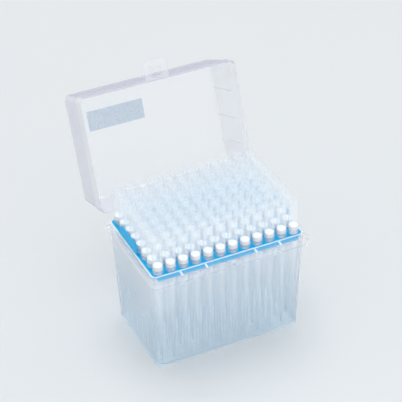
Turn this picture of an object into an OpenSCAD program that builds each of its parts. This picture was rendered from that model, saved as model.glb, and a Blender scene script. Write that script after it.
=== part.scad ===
// Hinged-lid rack of long filter tips: a clear tub, a drop-in deck, twelve
// columns of eight tips and a clear lid with a finger clasp.
// Origin: centre of the tub's underside. +X along the twelve columns, +Y to the hinge, +Z up.
// The lid is drawn open, leaning back on its stops.

/* [Tip array] */
// Distance between neighbouring tips
pitch = 9; // [8.9:0.05:9.1]
// Columns along X
columns = 12; // [12]
// Tips in one column, along Y
rows = 8; // [8]

/* [Tips] */
// Height of the tips' mouths above the table
tip_top = 107; // [106:0.2:107.2]
// Full length of one tip
tip_length = 100.6; // [99:0.2:101.6]
// Outer radius of a tip's hub
hub_r = 3.75; // [3.7:0.05:3.8]
// Radius of the tip's body where it passes through the deck
body_r = 3.15; // [3:0.05:3.15]
// Radius of the tip's mouth
mouth_r = 3.4; // [3.3:0.05:3.4]
// Radius of the bore that grips the filter
filter_seat_r = 3.1; // [3:0.05:3.15]
// Height of the filter's top above the table
filter_top = 86.3; // [85.1:0.2:88.1]
// Thickness of a filter
filter_h = 3.2; // [3:0.1:5]

/* [Tub] */
// Half length of the tub at its rim
tub_hx = 55.5; // [55.2:0.1:56]
// Half depth of the tub at its rim
tub_hy = 36.7; // [36.6:0.1:37]
// Height of the tub's rim
rim_z = 80.4; // [80.2:0.1:80.6]
// Half length of the tub at its foot
foot_hx = 53.1; // [52.5:0.1:53.5]
// Half depth of the tub at its foot
foot_hy = 33.7; // [33.2:0.1:34]
// Wall thickness of the tub
tub_wall = 1; // [0.9:0.05:1]
// Floor thickness of the tub
floor_t = 1.6; // [1.2:0.1:2]
// Height of the ledge's lower edge
ledge_z = 74.2; // [73.7:0.1:74.6]
// Height of the ledge's upper face
ledge_top = 79.2; // [78.9:0.1:79.2]
// Half length of the ledge
ledge_hx = 58.5; // [58.4:0.1:59]
// Half depth of the ledge
ledge_hy = 40.9; // [40.9:0.05:41.1]
// Distance of the ledge's and the lid's middle in front of the tub's middle
forward = 1.2; // [1.2:0.05:1.3]

/* [Deck] */
// Height of the deck's upper face
deck_top = 80.1; // [80:0.05:80.2]
// Thickness of the deck's plate
deck_t = 1.3; // [1.2:0.1:1.5]
// Depth of the deck's skirts and stiffening ribs, from its upper face
skirt_h = 4.2; // [3.8:0.1:4.3]
// Radius of the holes for the tips
hole_r = 3.25; // [3.2:0.05:3.25]
// Height of the finger tabs' upper edge
tab_z = 87.7; // [86:0.2:89]
// Lengths of a finger tab on each side of the middle, the short one first
tab_span = [8.4, 19.6]; // [6:0.2:20]

/* [Lid] */
// Height of the hinge axis
hinge_z = 79.6; // [79.5:0.05:79.7]
// Distance of the hinge axis behind the middle
hinge_y = 41.9; // [41.9:0.05:42]
// Angle by which the lid stands open
open_angle = 111.1; // [0:0.1:111.1]
// Half length of the lid at its rim
lid_hx = 58.1; // [57.9:0.05:58.2]
// Half depth of the lid at its rim
lid_hy = 40.6; // [40.6:0.05:40.7]
// Half length of the lid's top plate
plate_hx = 55.9; // [55.4:0.1:56.1]
// Height of the lid's top above the table when shut
lid_top = 119.8; // [118:0.2:121]
// Wall thickness of the lid
lid_wall = 0.9; // [0.8:0.05:0.9]
// Reach of the clasp in front of its fold
clasp_l = 12.6; // [11:0.2:14]
// Width of the clasp at its fold
clasp_w = 18; // [17:0.2:19]

/* [Hidden] */
$fn = 48;

clear_pp = [0.86, 0.89, 0.94, 0.45];
blue = [0, 0.6, 0.87];
white = [0.97, 0.98, 1];

eps = 0.01;                       // thickness of the slabs that a hull joins
corner_r = 5;                     // vertical corners of the tub and the ledge
rim_r = 3.6;                      // vertical corners of the tub's collar
lid_r = 4;                        // vertical corners of the lid
fit = 0.1;                        // gap of a sliding fit
tip_z0 = tip_top - tip_length;    // lower end of the tips

collar_hx = tub_hx - tub_wall;    // inside of the tub's collar
collar_hy = tub_hy - tub_wall;
deck_hx = collar_hx - 0.2;
deck_hy = collar_hy - fit;
deck_under = deck_top - deck_t;
skirt_t = 0.55;
skirt_z = deck_top - skirt_h;
gusset_x = [-36, -18, 18, 36];    // gussets between the collar and the ledge's front
gusset_w = 1.4;
gusset_back = 1.7;                // their distance behind the ledge's front edge

band_h = 8;                       // straight band at the lid's rim
lid_rim = ledge_top + 0.2;
lid_front = -lid_hy - forward;
lid_back = lid_hy - forward;
plate_back = 38.9;                // back and front edges of the lid's top plate
plate_front = -38.8;
rib_t = 0.9;                      // ribs inside the lid's side walls
rib_d = 0.7;
rib_from_front = [21, 41, 59];
label_size = [42, 14.2, 0.12];
label_gap = 15.5;                 // from the plate's front edge to the label

pin_r = 1.25;                     // hinge pins, moulded on the lid's knuckles
bore_r = 1.3;
knuckle_r = 2.2;
ear_r = 2.4;
ear_w = 3;
knuckle_x = [-42, 34];            // left ends of the two knuckles
knuckle_w = 8;
ear_gap = 0.15;

ledge_front = ledge_hy + forward;
fold_y = lid_front - 1.1;         // fold line of the clasp, with the lid shut
fold_z = lid_rim + 0.7;
clasp_t = 1;
window_w = 7.5;
window_from = 1.1;
window_l = 5.6;
catch_w = 6.4;

// A plate with round corners, standing on the XY plane
module round_plate(hx, hy, r, h) {
    linear_extrude(h) {
        square([2 * (hx - r), 2 * hy], center = true);
        square([2 * hx, 2 * (hy - r)], center = true);
        for (sx = [-1, 1], sy = [-1, 1])
            translate([sx * (hx - r), sy * (hy - r)]) circle(r);
    }
}

// A thin slab at height z, for hulls
module slab(hx, hy, r, z, y = 0) {
    translate([0, y, z]) round_plate(hx, hy, r, eps, $fn = 32);
}

// A profile in the YZ plane, drawn out along X from x0
module along_x(x0, length) {
    translate([x0, 0, 0]) rotate([90, 0, 90]) linear_extrude(length) children();
}

// Moves what is drawn round a shut lid to where the open lid is
module opened() {
    translate([0, hinge_y, hinge_z])
        rotate([-open_angle, 0, 0])
            translate([0, -hinge_y, -hinge_z]) children();
}

// The tub's tapered shell, grown by g (negative for its hollow)
module tub_taper(g, z0, foot_r) {
    rise = foot_r * 0.6;
    lean_x = (tub_hx - foot_hx) / ledge_z;
    lean_y = (tub_hy - foot_hy) / ledge_z;
    hull() {
        slab(foot_hx + g - rise, foot_hy + g - rise, corner_r - 1, z0);
        slab(foot_hx + g + (z0 + foot_r) * lean_x, foot_hy + g + (z0 + foot_r) * lean_y,
            corner_r, z0 + foot_r);
        slab(tub_hx + g, tub_hy + g, rim_r, ledge_z);
    }
}

// One hinge ear with its stop for the open lid
module hinge_ear(x0) {
    stop_dir = [sin(open_angle), cos(open_angle)];
    face_dir = [-cos(open_angle), sin(open_angle)];
    axis_at = [hinge_y, hinge_z];
    near = axis_at + ear_r * face_dir;
    far = near + 4 * stop_dir;
    along_x(x0, ear_w) {
        translate(axis_at) circle(ear_r);
        polygon([near, far, [far[0], hinge_z - 1.5], [hinge_y, ledge_z], [collar_hy, ledge_z],
            [collar_hy, ledge_top], [hinge_y - ear_r, ledge_top], axis_at]);
    }
}

// The catch that the clasp's window hooks over
module catch() {
    along_x(-catch_w / 2, catch_w)
        polygon([[-tub_hy + 0.4, ledge_z + 2.2], [-ledge_front, ledge_z + 2.2],
            [-ledge_front - 1.8, ledge_z + 1.6], [-ledge_front - 1.8, ledge_z + 0.6],
            [-ledge_front - 1.2, ledge_z - 0.1], [-ledge_front + 0.5, ledge_z - 0.1],
            [-tub_hy + 0.4, ledge_z - 2.8]]);
}

// Gussets that stiffen the collar, on the front of the ledge and inside the shut lid
module gussets() {
    for (x = gusset_x)
        along_x(x - gusset_w / 2, gusset_w)
            polygon([[-tub_hy + 0.4, rim_z - 0.3], [-tub_hy - 0.3, rim_z - 0.3],
                [gusset_back - ledge_front, ledge_top + 0.5], [gusset_back - ledge_front, ledge_top - 0.4],
                [-tub_hy + 0.4, ledge_top - 0.4]]);
}

module tub() {
    color(clear_pp) {
        difference() {
            union() {
                tub_taper(0, 0, 2.6);
                translate([0, 0, ledge_z]) round_plate(tub_hx, tub_hy, rim_r, rim_z - ledge_z);
                difference() {
                    translate([0, -forward, ledge_z])
                        round_plate(ledge_hx, ledge_hy, corner_r, ledge_top - ledge_z);
                    // The ledge's turned-down lip leaves a channel round the wall
                    difference() {
                        translate([0, -forward, ledge_z - 1])
                            round_plate(ledge_hx - 1.1, ledge_hy - 1.1, corner_r - 1.1,
                                ledge_top - ledge_z - 0.2);
                        translate([0, 0, ledge_z - 2])
                            round_plate(tub_hx - 0.2, tub_hy - 0.2, rim_r, rim_z);
                    }
                    // Room for the lid's knuckles
                    for (x0 = knuckle_x)
                        translate([x0 - ear_gap, hinge_y - 2.7, ledge_z - 1])
                            cube([knuckle_w + 2 * ear_gap, 10, 10]);
                }
                for (x0 = knuckle_x) {
                    hinge_ear(x0 - ear_gap - ear_w);
                    hinge_ear(x0 + knuckle_w + ear_gap);
                }
                catch();
                gussets();
            }
            tub_taper(-tub_wall, floor_t, 2);
            translate([0, 0, ledge_z - eps])
                round_plate(collar_hx, collar_hy, rim_r - tub_wall, rim_z);
            for (x0 = knuckle_x)
                along_x(x0 - ear_w - 1, knuckle_w + 2 * ear_w + 2)
                    translate([hinge_y, hinge_z]) circle(bore_r);
        }
        // Rails that carry the deck's short sides
        for (side = [0, 180])
            rotate([0, 0, side])
                translate([collar_hx - 1.1, -26, deck_under - 2.1])
                    cube([1.1 + tub_wall / 2, 52, 2]);
    }
}

// A finger tab that stands on one short side of the deck
module finger_tab() {
    r = 4;
    along_x(-deck_hx, 0.75) {
        translate([-tab_span[0], deck_under]) square([tab_span[0] + tab_span[1], tab_z - r - deck_under]);
        translate([r - tab_span[0], deck_under])
            square([tab_span[0] + tab_span[1] - 2 * r, tab_z - deck_under]);
        for (y = [r - tab_span[0], tab_span[1] - r])
            translate([y, tab_z - r]) circle(r);
    }
}

module deck() {
    rib_w = 0.9;
    color(blue) {
        difference() {
            union() {
                translate([0, 0, deck_under]) round_plate(deck_hx, deck_hy, 2.2, deck_t);
                // Stiffening ribs between the rows and between the columns
                for (j = [1 : rows - 1])
                    translate([-5.5 * pitch, (j - rows / 2) * pitch - rib_w / 2, skirt_z])
                        cube([11 * pitch, rib_w, skirt_h - deck_t / 2]);
                for (i = [1 : columns - 1])
                    translate([(i - columns / 2) * pitch - rib_w / 2, -deck_hy + skirt_t / 2, skirt_z])
                        cube([rib_w, 2 * deck_hy - skirt_t, skirt_h - deck_t / 2]);
                for (side = [-1, 1])
                    translate([-deck_hx + 3, side * (deck_hy - skirt_t / 2) - skirt_t / 2, skirt_z])
                        cube([2 * deck_hx - 6, skirt_t, skirt_h - deck_t / 2]);
            }
            for (i = [0 : columns - 1], j = [0 : rows - 1])
                translate([(i - (columns - 1) / 2) * pitch, (j - (rows - 1) / 2) * pitch, skirt_z - 1])
                    cylinder(r = hole_r, h = skirt_h + 2);
        }
        for (side = [0, 180])
            rotate([0, 0, side]) finger_tab();
    }
}

// The lid's upper body, inset by g; the rim band is separate
module lid_taper(g, z0, edge) {
    mid_y = (plate_back + plate_front) / 2;
    plate_hy = (plate_back - plate_front) / 2;
    top = lid_top - g;
    hull() {
        slab(lid_hx - 0.7 - g, lid_hy - 0.3 - g, lid_r - g / 2, z0, -forward);
        slab(plate_hx - g, plate_hy - g, lid_r - g / 2, top - edge, mid_y);
        slab(plate_hx - g - edge * 0.7, plate_hy - g - edge * 0.7, lid_r - g / 2, top - eps, mid_y);
    }
}

module lid_ribs() {
    slant = atan((lid_hx - 0.7 - plate_hx) / (lid_top - lid_rim - band_h));
    rib_l = 0.72 * (lid_top - lid_rim);
    for (d = rib_from_front, side = [-1, 1])
        translate([side * (plate_hx - lid_wall - rib_d), plate_front + d - rib_t / 2, lid_top - lid_wall])
            rotate([0, -side * slant, 0])
                translate([side > 0 ? 0 : -3, 0, -rib_l]) cube([3, rib_t, rib_l + 1]);
}

// A knuckle with the two pins that turn in the tub's ears
module lid_knuckle(x0) {
    inside = lid_back - lid_wall / 2;
    along_x(x0, knuckle_w) {
        translate([hinge_y, hinge_z]) circle(knuckle_r);
        translate([inside, hinge_z]) square([hinge_y - inside, knuckle_r]);
        polygon([[inside, hinge_z + 4.5], [inside, lid_rim],
            [hinge_y - 1.5, hinge_z - 0.5], [hinge_y, hinge_z], [hinge_y, hinge_z + knuckle_r]]);
    }
    along_x(x0 - ear_gap - ear_w + 0.3, knuckle_w + 2 * ear_gap + 2 * ear_w - 0.6)
        translate([hinge_y, hinge_z]) circle(pin_r);
}

module lid() {
    band_top = lid_rim + band_h;
    color(clear_pp)
        opened() {
            difference() {
                union() {
                    translate([0, -forward, lid_rim]) round_plate(lid_hx, lid_hy, lid_r, band_h);
                    lid_taper(0, band_top - eps, 1.8);
                    // Lip that the clasp folds on
                    translate([-clasp_w / 2, fold_y + 0.6, fold_z - clasp_t / 2])
                        cube([clasp_w, 1.1, clasp_t]);
                }
                translate([0, -forward, lid_rim - 1])
                    round_plate(lid_hx - lid_wall, lid_hy - lid_wall, lid_r - lid_wall, band_h + 0.4);
                difference() {
                    lid_taper(lid_wall, band_top - 1, 1.2);
                    lid_ribs();
                }
            }
            for (x0 = knuckle_x) lid_knuckle(x0);
            // Gate mark at the middle of the plate
            translate([0, (plate_back + plate_front) / 2, lid_top - eps]) cylinder(r = 0.9, h = 0.25);
        }
}

// The clasp: a tongue with a window, on the fold at the front of the lid's rim
module clasp() {
    r = 3.6;
    end_x = 8.4;
    color(clear_pp)
        opened()
            translate([0, fold_y, fold_z]) {
                translate([0, 0, -clasp_t / 2])
                    linear_extrude(clasp_t)
                        difference() {
                            union() {
                                polygon([[-clasp_w / 2, 0], [clasp_w / 2, 0], [end_x, r - clasp_l],
                                    [-end_x, r - clasp_l]]);
                                for (side = [-1, 1])
                                    translate([side * (end_x - r), r - clasp_l]) circle(r);
                                translate([r - end_x, -clasp_l]) square([2 * (end_x - r), 2 * r]);
                            }
                            translate([-window_w / 2, -window_from - window_l]) square([window_w, window_l]);
                        }
                along_x(-clasp_w / 2, clasp_w) circle(clasp_t / 2);
                // Raised bar past the window, for the fingernail
                translate([-window_w / 2, -window_from - window_l - 1.5, 0])
                    cube([window_w, 1.1, clasp_t / 2 + 0.9]);
            }
}

module lid_label() {
    color([0.74, 0.8, 0.87])
        opened()
            translate([-label_size[0], plate_front + label_gap, lid_top])
                cube(label_size);
}

// One tip, standing on z = 0 at its lower end
module tip() {
    deck_at = deck_top + 0.05 - tip_z0;
    seat_top = filter_top + 0.1 - tip_z0;
    seat_bottom = filter_top - filter_h - tip_z0;
    rotate_extrude()
        polygon([[0.65, 0], [1.45, 22], [2.35, 46], [body_r, deck_at - 3], [body_r, deck_at],
            [body_r + 0.3, deck_at], [hub_r, deck_at + 2.2], [hub_r, tip_length - 0.4],
            [hub_r - 0.2, tip_length], [mouth_r, tip_length], [mouth_r, tip_length - 5],
            [filter_seat_r, seat_top], [filter_seat_r, seat_bottom],
            [filter_seat_r - 0.3, seat_bottom - 0.2], [1.8, 46], [1, 22], [0.35, 0]]);
}

module tip_column(i) {
    color(clear_pp)
        for (j = [0 : rows - 1])
            translate([(i - (columns - 1) / 2) * pitch, (j - (rows - 1) / 2) * pitch, tip_z0]) tip();
}

// The filters of one column, pressed into their tips
module filter_column(i) {
    color(white)
        for (j = [0 : rows - 1])
            translate([(i - (columns - 1) / 2) * pitch, (j - (rows - 1) / 2) * pitch, filter_top - filter_h])
                cylinder(r = filter_seat_r + 0.03, h = filter_h);
}

tub();
deck();
lid();
clasp();
lid_label();
tip_column(0);  // tips_01
tip_column(1);  // tips_02
tip_column(2);  // tips_03
tip_column(3);  // tips_04
tip_column(4);  // tips_05
tip_column(5);  // tips_06
tip_column(6);  // tips_07
tip_column(7);  // tips_08
tip_column(8);  // tips_09
tip_column(9);  // tips_10
tip_column(10);  // tips_11
tip_column(11);  // tips_12
filter_column(0);  // filters_01
filter_column(1);  // filters_02
filter_column(2);  // filters_03
filter_column(3);  // filters_04
filter_column(4);  // filters_05
filter_column(5);  // filters_06
filter_column(6);  // filters_07
filter_column(7);  // filters_08
filter_column(8);  // filters_09
filter_column(9);  // filters_10
filter_column(10);  // filters_11
filter_column(11);  // filters_12
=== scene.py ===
import math

import bpy
from mathutils import Matrix, Vector


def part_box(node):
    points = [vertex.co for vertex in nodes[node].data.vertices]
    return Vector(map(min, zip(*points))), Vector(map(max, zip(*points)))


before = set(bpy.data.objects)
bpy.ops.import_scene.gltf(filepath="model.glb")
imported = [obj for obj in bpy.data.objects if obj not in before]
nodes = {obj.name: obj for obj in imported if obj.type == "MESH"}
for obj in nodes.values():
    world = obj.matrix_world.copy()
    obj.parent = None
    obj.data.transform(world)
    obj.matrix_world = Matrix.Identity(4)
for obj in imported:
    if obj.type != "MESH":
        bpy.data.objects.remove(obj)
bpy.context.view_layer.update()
scene = bpy.context.scene

# ---- Camera -------------------------------------------------------------------------------
AZIMUTH, ELEVATION, ROLL = math.radians(-24.65), math.radians(34.76), math.radians(-1.41)
TARGET, DISTANCE = Vector((0.00549, 0.01884, 0.08797)), 1.10604
SENSOR_WIDTH, FOCAL_LENGTH = 36, 145.94
NEAREST, FARTHEST = 0.05, 20

back = Vector((math.sin(AZIMUTH) * math.cos(ELEVATION),
               -math.cos(AZIMUTH) * math.cos(ELEVATION),
               math.sin(ELEVATION)))
level_right = (-back).cross(Vector((0, 0, 1))).normalized()
level_up = level_right.cross(-back)
right = level_right * math.cos(ROLL) + level_up * math.sin(ROLL)
up = -level_right * math.sin(ROLL) + level_up * math.cos(ROLL)
camera = bpy.data.objects.new("camera", bpy.data.cameras.new("camera"))
camera.data.sensor_width = SENSOR_WIDTH
camera.data.lens = FOCAL_LENGTH
camera.data.clip_start, camera.data.clip_end = NEAREST, FARTHEST
turned = Matrix((right, up, back)).transposed().to_4x4()
camera.matrix_world = Matrix.Translation(TARGET + back * DISTANCE) @ turned
scene.collection.objects.link(camera)
scene.camera = camera

scene.view_settings.view_transform = "Standard"
# Light crosses dozens of clear walls on its way through the tips
scene.cycles.max_bounces = 48
scene.cycles.transparent_max_bounces = 96
scene.cycles.transmission_bounces = 48
scene.cycles.diffuse_bounces = 24
scene.cycles.glossy_bounces = 16


# ---- Materials ----------------------------------------------------------------------------
PLASTIC_IOR = 1.49
# The lowest points of the tips and the deck, in metres
TIP_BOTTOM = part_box("tips_01")[0][2]
DECK_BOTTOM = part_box("deck")[0][2]
# Where the tub's looks change, in metres: its ledge, the collar on that, and the collar's lip
LEDGE_BELOW_DECK = 0.0015
LIP_ABOVE_LEDGE = 0.0012
COLLAR_FRONT = -0.0367
# The gussets stand two and four tip pitches either side of the middle
TIP_PITCH = 0.009
GUSSET_HALF_WIDTH = 0.0007
# Heights between which the tub's painted foot highlight and the filters' painted side shade fade into what is
# above
FOOT_HIGHLIGHT_FADE = (0.0016, 0.0036)
FILTER_SIDE_SHADE_FADE = (0.0856, 0.0861)
# The other fades are short: a few of these steps, in metres
STEP = 0.0001


class Tree:
    """A material's node tree, with short calls to add and join nodes."""

    def __init__(self, name):
        self.material = bpy.data.materials.new(name)
        self.material.use_nodes = True
        self.nodes, self.links = self.material.node_tree.nodes, self.material.node_tree.links
        self.nodes.clear()
        self.place = self.add("ShaderNodeTexCoord").outputs["Object"]

    def add(self, kind, values=None, **settings):
        node = self.nodes.new(kind)
        for key, value in settings.items():
            setattr(node, key, value)
        for key, value in (values or {}).items():
            if isinstance(value, bpy.types.NodeSocket):
                self.links.new(value, node.inputs[key])
            else:
                node.inputs[key].default_value = value
        return node

    def noise(self, scale, detail, stretch=(1, 1, 1)):
        spot = self.add("ShaderNodeMapping", {"Vector": self.place, "Scale": stretch}).outputs[0]
        noise = self.add("ShaderNodeTexNoise", {"Vector": spot, "Scale": scale, "Detail": detail})
        return noise.outputs["Fac"]

    def ramp(self, value, low, high, to_low, to_high):
        return self.add("ShaderNodeMapRange", {"Value": value, "From Min": low, "From Max": high,
                                               "To Min": to_low, "To Max": to_high}).outputs[0]

    def mix(self, factor, a, b):
        node = self.add("ShaderNodeMix", data_type="RGBA")
        for socket, value in ((node.inputs[0], factor), (node.inputs[6], a), (node.inputs[7], b)):
            if isinstance(value, bpy.types.NodeSocket):
                self.links.new(value, socket)
            else:
                socket.default_value = value
        return node.outputs[2]

    def maths(self, operation, a, b=0.0, clamp=True):
        return self.add("ShaderNodeMath", {0: a, 1: b}, operation=operation, use_clamp=clamp).outputs[0]

    def spread(self, noise, to_low, to_high):
        """Noise mostly stays near its middle, so that part of it is stretched over the two values."""
        return self.ramp(noise, 0.3, 0.7, to_low, to_high)

    def mottle(self, scale, detail, to_low, to_high):
        return self.spread(self.noise(scale, detail), to_low, to_high)

    def bump(self, height, distance):
        return self.add("ShaderNodeBump", {"Height": height, "Distance": distance,
                                           "Strength": 1.0}).outputs[0]

    def height(self):
        return self.add("ShaderNodeSeparateXYZ", {0: self.place}).outputs["Z"]

    def finish(self, shader):
        out = self.add("ShaderNodeOutputMaterial")
        self.links.new(shader.outputs[0], out.inputs["Surface"])
        return self.material


def rgb(*value):
    return (*value, 1.0)


def plastic(t, colour, roughness, normal, **more):
    """A smooth or rough moulded surface; the further settings are named by their sockets."""
    return t.add("ShaderNodeBsdfPrincipled", {"Base Color": colour, "Roughness": roughness,
                                              "IOR": PLASTIC_IOR, "Normal": normal, **more})


def mix_shaders(t, factor, a, b):
    return t.add("ShaderNodeMixShader", {0: factor, 1: a.outputs[0], 2: b.outputs[0]})


def see_through(t, shader, share, lamp_colour):
    """A share of the shader over what lies straight behind it. Lamps shine in, tinted, on what is inside."""
    bare = t.add("ShaderNodeBsdfTransparent", {"Color": rgb(1, 1, 1)})
    lit = t.add("ShaderNodeBsdfTransparent", {"Color": rgb(*lamp_colour)})
    shadow = t.add("ShaderNodeLightPath").outputs["Is Shadow Ray"]
    return mix_shaders(t, shadow, mix_shaders(t, share, bare, shader), lit)


def glancing(t, low, high, blend=0.3):
    """From low, face on, to high at the outline. A smaller blend changes nearer the outline."""
    facing = t.add("ShaderNodeLayerWeight", {"Blend": blend}).outputs["Facing"]
    return t.ramp(facing, 0.0, 1.0, low, high)


def clear_tip():
    """Thin clear polypropylene with a pale blue body and a faint cloud, cloudier below the deck, and painted
    darker blue-grey toward the lower ends as shade.
    """
    t = Tree("clear_tip")
    below_deck = t.ramp(t.height(), DECK_BOTTOM, DECK_BOTTOM + 30 * STEP, 1.0, 0.0)
    painted_shade_toward_end = t.ramp(t.height(), TIP_BOTTOM, DECK_BOTTOM, 1.0, 0.0)
    face = t.mix(t.mottle(160, 4, 0.0, 1.0), rgb(0.9, 0.945, 0.96), rgb(0.94, 0.97, 0.98))
    edge = t.mix(below_deck, rgb(0.8, 0.85, 0.92), rgb(1.0, 1.0, 1.0))
    colour = t.mix(glancing(t, 0.0, 1.0, 0.2), face, edge)
    # Painted shade: the tips turn darker blue-grey toward their lower ends
    colour = t.mix(painted_shade_toward_end, colour, rgb(0.66, 0.78, 0.86))
    body = plastic(t, colour, t.mottle(900, 4, 0.14, 0.26), t.bump(t.noise(400, 2), 0.000004), IOR=1.4)
    share = t.maths("MAXIMUM", glancing(t, 0.18, 0.38), t.maths("MULTIPLY", below_deck, 0.36))
    return t.finish(see_through(t, body, share, (0.995, 0.997, 1.0)))


def clear_lid():
    """Clarified polypropylene: it bends part of what is behind it, and turns lavender toward its outline."""
    t = Tree("clear_lid")
    flow = t.noise(45, 3, (1, 1, 0.5))
    swirl = t.spread(flow, 0.0, 1.0)
    shade = t.mottle(250, 4, 0.04, 0.1)
    normal = t.bump(flow, 0.00002)
    glass_tint = t.mix(swirl, rgb(0.95, 0.955, 0.985), rgb(0.99, 0.99, 1.0))
    glass = plastic(t, glass_tint, shade, normal, **{"Transmission Weight": 1.0})
    outline = glancing(t, 0.0, 1.0, 0.15)
    pale = t.mix(swirl, rgb(0.95, 0.965, 1.0), rgb(0.99, 0.995, 1.0))
    haze_tint = t.mix(t.ramp(outline, 0.27, 0.47, 0.0, 1.0), pale, rgb(0.3, 0.29, 0.46))
    haze = plastic(t, haze_tint, shade, normal)
    veiled = mix_shaders(t, t.ramp(outline, 0.0, 0.4, 0.35, 0.85), glass, haze)
    return t.finish(see_through(t, veiled, t.ramp(outline, 0.0, 0.6, 0.24, 0.9), (0.965, 0.965, 0.98)))


def gusset_highlight_mask(t, ledge_top):
    """1 on the gussets on the front of the tub's ledge, 0 elsewhere. The tub paints a pale highlight there.
    """
    spot = t.add("ShaderNodeSeparateXYZ", {0: t.place})
    off_gusset = t.maths("ABSOLUTE", spot.outputs["X"])
    for step in (3 * TIP_PITCH, TIP_PITCH):
        off_gusset = t.maths("ABSOLUTE", t.maths("SUBTRACT", off_gusset, step, clamp=False))
    in_line = t.ramp(off_gusset, GUSSET_HALF_WIDTH, GUSSET_HALF_WIDTH + 2 * STEP, 1.0, 0.0)
    before_collar = t.ramp(spot.outputs["Y"], COLLAR_FRONT - 3 * STEP, COLLAR_FRONT - STEP, 1.0, 0.0)
    above_ledge = t.ramp(spot.outputs["Z"], ledge_top, ledge_top + STEP, 0.0, 1.0)
    return t.maths("MULTIPLY", t.maths("MULTIPLY", in_line, before_collar), above_ledge)


def frosted_tub():
    """Natural polypropylene: a light frost up to the ledge, painted darker and bluer toward the bottom as
    shade, a clear collar, and a lip, foot and gussets painted pale as highlights.
    """
    t = Tree("frosted_tub")
    ledge = DECK_BOTTOM - LEDGE_BELOW_DECK
    # The hinge's ears at the back stand higher than the lip, so it is measured at the front
    lip = max(v.co.z for v in nodes["tub"].data.vertices if v.co.y < 0)
    # Painted shade with a blue cast: the frost's colours are darker and bluer toward the tub's bottom, fading
    # out up to the ledge
    painted_shade_up_the_wall = t.ramp(t.height(), 0.0, ledge, 0.0, 1.0)
    collar = t.ramp(t.height(), ledge, ledge + 8 * STEP, 0.0, 1.0)
    # Painted highlights: pale bands along the lip's top edge and along the tub's foot
    lip_painted_highlight = t.ramp(t.height(), lip - 6 * STEP, lip - 2 * STEP, 0.0, 1.0)
    foot_painted_highlight = t.ramp(t.height(), *FOOT_HIGHLIGHT_FADE, 1.0, 0.0)
    grain = t.bump(t.noise(2500, 3), 0.000003)

    glass_tint_with_painted_shade = t.mix(painted_shade_up_the_wall, rgb(0.86, 0.93, 0.98), rgb(0.985, 0.99, 1.0))
    glass = plastic(t, glass_tint_with_painted_shade, t.mottle(900, 4, 0.05, 0.09), grain, **{"Transmission Weight": 1.0})

    flow = t.ramp(t.noise(90, 3, (1, 1, 0.15)), 0.35, 0.65, 0.0, 1.0)
    milk_tint_with_painted_light = t.mix(painted_shade_up_the_wall, rgb(0.46, 0.63, 0.73), rgb(0.94, 0.96, 0.985))
    milk_tint_with_painted_light = t.mix(t.maths("MULTIPLY", flow, 0.35), milk_tint_with_painted_light, rgb(0.92, 0.95, 0.99))
    milk_tint_with_painted_light = t.mix(collar, milk_tint_with_painted_light, rgb(0.95, 0.975, 1.0))
    milk_tint_with_painted_light = t.mix(foot_painted_highlight, milk_tint_with_painted_light, rgb(0.93, 0.96, 0.98))
    milk = plastic(t, milk_tint_with_painted_light, 0.35, grain)
    milkiness = t.maths("MAXIMUM", t.ramp(collar, 0.0, 1.0, 0.5, 0.75), t.maths("MULTIPLY", foot_painted_highlight, 0.9))
    cloudy = mix_shaders(t, milkiness, glass, milk)

    share = glancing(t, t.ramp(collar, 0.0, 1.0, 0.27, 0.0), t.ramp(collar, 0.0, 1.0, 0.8, 0.4))
    # Painted highlights: the lip, the foot and the gussets are made pale and nearly solid, as bright edges
    painted_highlights = t.maths("MAXIMUM", t.maths("MAXIMUM", lip_painted_highlight, foot_painted_highlight), gusset_highlight_mask(t, lip - LIP_ABOVE_LEDGE))
    share = t.maths("MAXIMUM", share, t.maths("MULTIPLY", painted_highlights, 0.85))
    return t.finish(see_through(t, cloudy, share, (0.9, 0.925, 0.95)))


def blue_deck():
    """Saturated cyan-blue polypropylene, satin, with a fine moulded grain."""
    t = Tree("blue_deck")
    colour = t.mix(t.mottle(60, 4, 0.0, 1.0), rgb(0.0, 0.41, 0.76), rgb(0.0, 0.48, 0.85))
    grain = t.bump(t.noise(4000, 3), 0.000015)
    return t.finish(plastic(t, colour, t.mottle(1800, 4, 0.26, 0.42), grain, **{"Specular IOR Level": 0.15}))


def white_filter():
    """Sintered white polyethylene: matt, finely grained, and painted darker grey on its sides than at its
    top, as shade.
    """
    t = Tree("white_filter")
    grains = t.add("ShaderNodeTexVoronoi", {"Vector": t.place, "Scale": 3200}).outputs["Distance"]
    colour = t.mix(t.ramp(grains, 0.1, 0.7, 0.0, 1.0), rgb(1.0, 1.0, 1.0), rgb(0.95, 0.95, 0.965))
    # Painted shade: the filter's sides are made grey below its white top face
    colour = t.mix(t.ramp(t.height(), *FILTER_SIDE_SHADE_FADE, 1.0, 0.0), colour, rgb(0.74, 0.74, 0.75))
    body = t.add("ShaderNodeBsdfPrincipled", {"Base Color": colour, "Roughness": t.mottle(3000, 3, 0.8, 0.98),
                                              "Normal": t.bump(grains, 0.00004)})
    return t.finish(body)


def label_print():
    """A thin, even grey-blue print with a slight mottle."""
    t = Tree("label_print")
    specks = t.noise(700, 5)
    colour = t.mix(t.spread(specks, 0.0, 1.0), rgb(0.6, 0.69, 0.77), rgb(0.67, 0.75, 0.82))
    ink = t.add("ShaderNodeBsdfPrincipled", {"Base Color": colour, "Roughness": t.spread(specks, 0.4, 0.6),
                                             "Alpha": t.spread(specks, 0.6, 0.75)})
    return t.finish(ink)


def pale_floor():
    """A plain pale sweep with hardly any mottle."""
    t = Tree("pale_floor")
    colour = t.mix(t.mottle(3, 2, 0.0, 1.0), rgb(0.715, 0.74, 0.755), rgb(0.725, 0.75, 0.765))
    return t.finish(t.add("ShaderNodeBsdfPrincipled", {"Base Color": colour, "Roughness": 0.8}))


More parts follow.
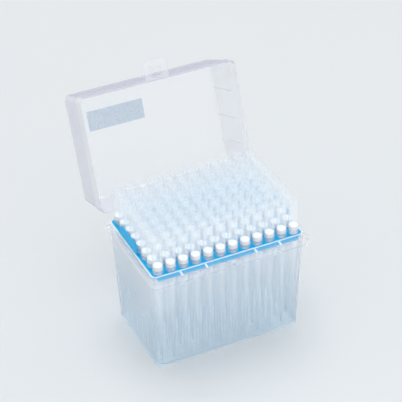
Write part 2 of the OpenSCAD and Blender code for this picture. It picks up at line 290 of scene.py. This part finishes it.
def wear(piece, material):
    """Put the material in each of the piece's slots, or in a new one if it has none."""
    for slot in piece.material_slots:
        slot.material = material
    if not piece.material_slots:
        piece.data.materials.append(material)


tub_plastic, lid_plastic, tip_plastic = frosted_tub(), clear_lid(), clear_tip()
filter_fibre, deck_plastic, print_film = white_filter(), blue_deck(), label_print()
wear(nodes["tub"], tub_plastic)
wear(nodes["deck"], deck_plastic)
wear(nodes["lid"], lid_plastic)
wear(nodes["clasp"], lid_plastic)
wear(nodes["lid_label"], print_film)
for name, piece in nodes.items():
    if name.startswith("tips_"):
        wear(piece, tip_plastic)
    if name.startswith("filters_"):
        wear(piece, filter_fibre)

# ---- Floor and light ----------------------------------------------------------------------
# The floor lies just below the tub, so that the two faces don't flicker
FLOOR_SIZE, FLOOR_DROP = 12, 0.0002
SKY_COLOUR, SKY_STRENGTH = (0.965, 0.98, 1.0), 0.8
bpy.ops.mesh.primitive_plane_add(size=FLOOR_SIZE, location=(0, 0, -FLOOR_DROP))
floor = bpy.context.object
floor.name = "floor"
wear(floor, pale_floor())


def area_light(name, at, aim, size, power, colour):
    """A round soft lamp; size is its width in metres, power is in watts."""
    lamp = bpy.data.objects.new(name, bpy.data.lights.new(name, "AREA"))
    lamp.data.shape = "DISK"
    lamp.data.size, lamp.data.energy, lamp.data.color = size, power, colour
    at = Vector(at)
    aimed = (Vector(aim) - at).to_track_quat("-Z", "Y").to_matrix().to_4x4()
    lamp.matrix_world = Matrix.Translation(at) @ aimed
    scene.collection.objects.link(lamp)


area_light("key", at=(0.1, 0.65, 2.4), aim=(0, 0, 0.05), size=1.7, power=15.5, colour=(1, 0.995, 0.98))
area_light("fill", at=(-0.1, -1.6, 1.2), aim=(0, 0, 0.06), size=1.6, power=9.5, colour=(0.99, 0.995, 1))

world = bpy.data.worlds.new("studio")
world.use_nodes = True
sky = world.node_tree.nodes["Background"]
sky.inputs["Color"].default_value = rgb(*SKY_COLOUR)
sky.inputs["Strength"].default_value = SKY_STRENGTH
scene.world = world
